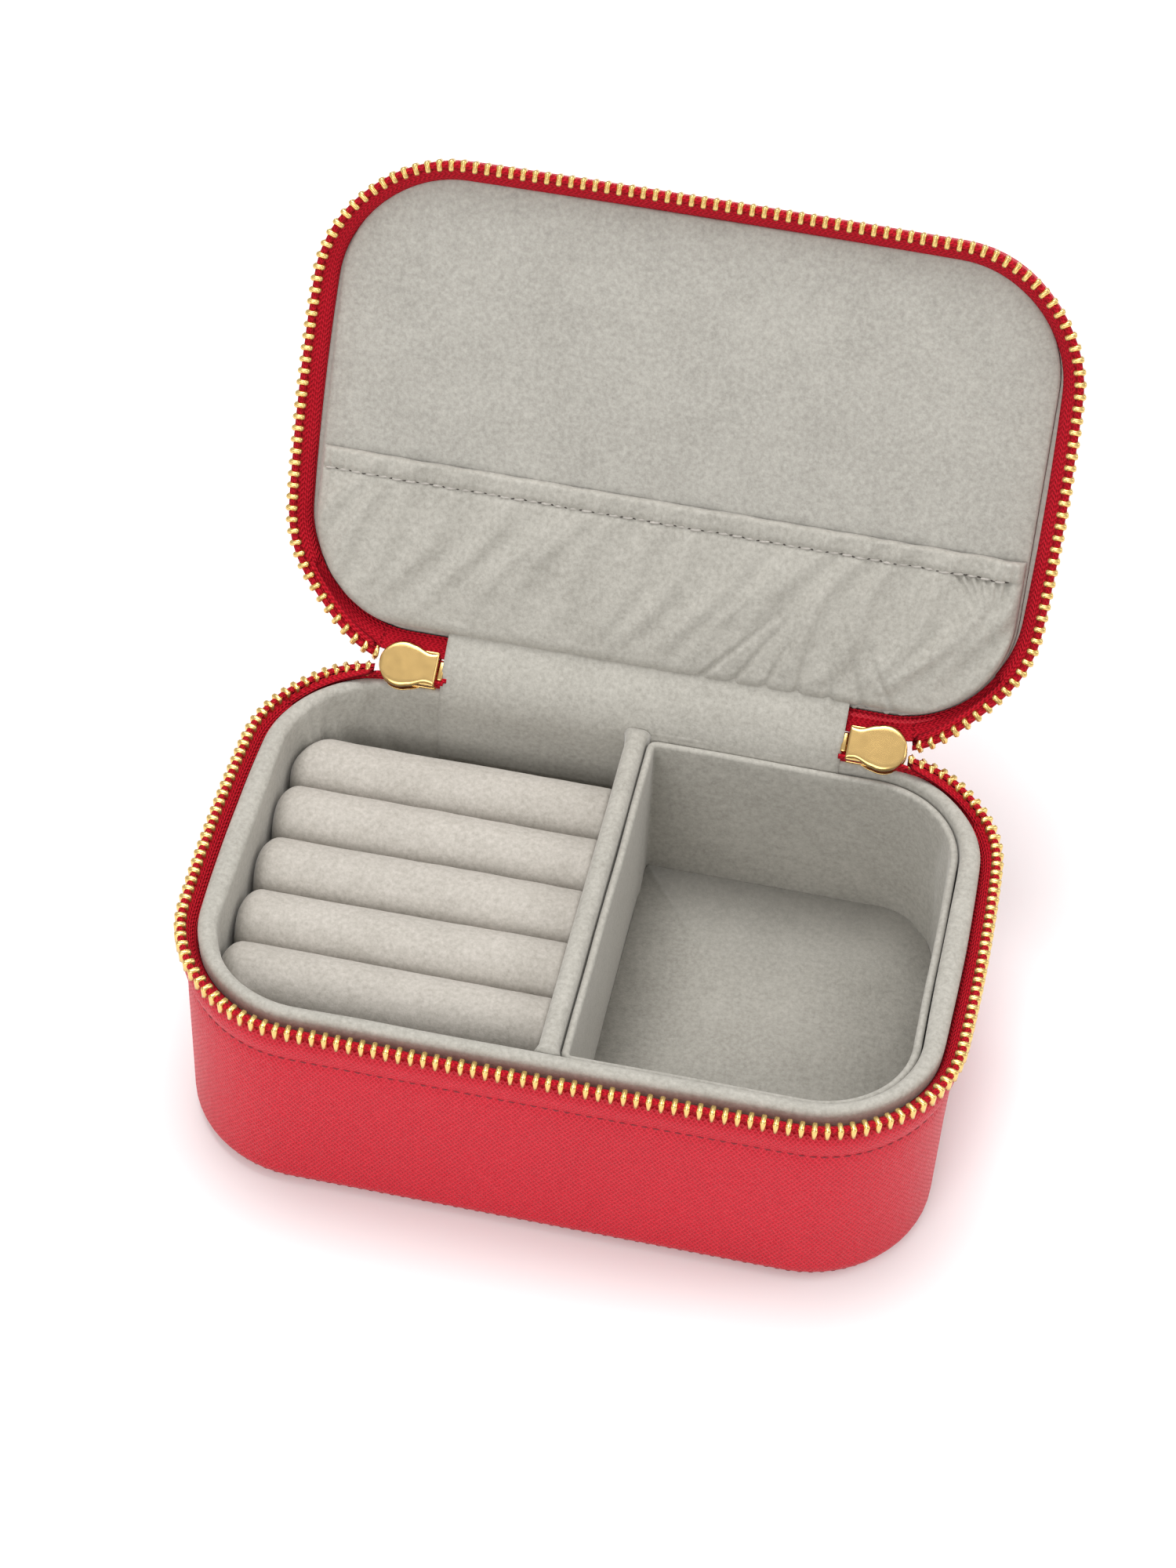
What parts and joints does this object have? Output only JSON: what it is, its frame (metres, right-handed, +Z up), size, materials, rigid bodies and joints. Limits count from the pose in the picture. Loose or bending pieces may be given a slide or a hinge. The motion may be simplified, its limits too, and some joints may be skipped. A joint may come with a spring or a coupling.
{
  "type": "ring box",
  "caption": "Zipped leather-covered travel ring box with a hinged lid, padded ring rolls, a drop-in tray and a gathered lid pocket.",
  "frame": {"origin": "centre of the underside, on the surface the box stands on", "axes": "+X to the right, +Y to the rear, towards the hinge, +Z up"},
  "size_m": [0.1206, 0.1245, 0.1136],
  "materials": {
    "leather_red": "fine cross-grained embossed leather, satin",
    "board_grey": "greyboard",
    "suede_grey": "brushed suede cloth",
    "foam_grey": "soft foam",
    "suede_roll": "brushed suede cloth",
    "tape_red": "woven polyester tape",
    "zip_gold": "polished gold plate",
    "suede_panel": "brushed suede cloth",
    "elastic_white": "braided elastic",
    "slider_gold": "polished gold plate"
  },
  "bodies": {
    "base": {"base_bottom_leather": "leather_red", "base_side_leather": "leather_red", "base_wall_board": "board_grey", "base_floor_board": "board_grey", "base_floor_card": "board_grey", "base_inner_board": "board_grey", "base_lining": "suede_grey", "divider_board": "board_grey", "divider_suede": "suede_grey", "ring_bed": "foam_grey", "ring_roll_1": "suede_roll", "ring_roll_2": "suede_roll", "ring_roll_3": "suede_roll", "ring_roll_4": "suede_roll", "ring_roll_5": "suede_roll", "tray_wall": "suede_grey", "tray_floor_pad": "suede_grey", "lower_zip_tape": "tape_red", "lower_zip_teeth": "zip_gold", "hinge_leather_base": "leather_red", "hinge_lining_base": "suede_grey"},
    "lid": {"lid_top_leather": "leather_red", "lid_side_leather": "leather_red", "lid_wall_board": "board_grey", "lid_top_board": "board_grey", "lid_foam": "foam_grey", "lid_panel_board": "board_grey", "lid_panel_suede": "suede_panel", "lid_pocket": "suede_grey", "pocket_elastic": "elastic_white", "upper_zip_tape": "tape_red", "upper_zip_teeth": "zip_gold", "hinge_leather_lid": "leather_red", "hinge_lining_lid": "suede_grey"},
    "zip_end_left": {"zip_stop_left": "zip_gold", "zip_tail_left": "tape_red"},
    "slider_body_left": {"slider_left": "slider_gold"},
    "ring_left": {"pull_ring_left": "slider_gold"},
    "tab_left": {"pull_tab_left": "slider_gold"},
    "zip_end_right": {"zip_stop_right": "zip_gold", "zip_tail_right": "tape_red"},
    "slider_body_right": {"slider_right": "slider_gold"},
    "ring_right": {"pull_ring_right": "slider_gold"},
    "tab_right": {"pull_tab_right": "slider_gold"}
  },
  "joints": [
    {"name": "lid_hinge", "type": "hinge", "parent": "base", "child": "lid", "pos_m": [0, 0.0398, 0.0418], "axis": [1, 0, 0], "range_deg": [0, 118.5]},
    {"name": "zip_end_tilt_left", "type": "hinge", "parent": "base", "child": "zip_end_left", "pos_m": [-0.03825, 0.0398, 0.0418], "axis": [1, 0, 0], "range_deg": [0, 59.25]},
    {"name": "slider_run_left", "type": "slide", "parent": "zip_end_left", "child": "slider_body_left", "axis": [-1, 0, 0], "range_m": [0, 0.001]},
    {"name": "pull_ring_left", "type": "hinge", "parent": "slider_body_left", "child": "ring_left", "pos_m": [-0.0381, 0.03877, 0.03746], "axis": [1, 0, 0], "range_deg": [-59.25, 0]},
    {"name": "pull_swing_left", "type": "hinge", "parent": "ring_left", "child": "tab_left", "pos_m": [-0.0381, 0.03967, 0.03471], "axis": [1, 0, 0], "range_deg": [0, 23]},
    {"name": "zip_end_tilt_right", "type": "hinge", "parent": "base", "child": "zip_end_right", "pos_m": [0.03825, 0.0398, 0.0418], "axis": [1, 0, 0], "range_deg": [0, 59.25]},
    {"name": "slider_run_right", "type": "slide", "parent": "zip_end_right", "child": "slider_body_right", "axis": [1, 0, 0], "range_m": [0, 0.001]},
    {"name": "pull_ring_right", "type": "hinge", "parent": "slider_body_right", "child": "ring_right", "pos_m": [0.0381, 0.03877, 0.03746], "axis": [1, 0, 0], "range_deg": [-59.25, 0]},
    {"name": "pull_swing_right", "type": "hinge", "parent": "ring_right", "child": "tab_right", "pos_m": [0.0381, 0.03967, 0.03471], "axis": [1, 0, 0], "range_deg": [0, 23]}
  ],
  "couplings": [
    {"joint": "zip_end_tilt_left", "follows": "lid_hinge", "ratio": 0.5},
    {"joint": "pull_ring_left", "follows": "lid_hinge", "ratio": -0.5},
    {"joint": "zip_end_tilt_right", "follows": "lid_hinge", "ratio": 0.5},
    {"joint": "pull_ring_right", "follows": "lid_hinge", "ratio": -0.5}
  ]
}
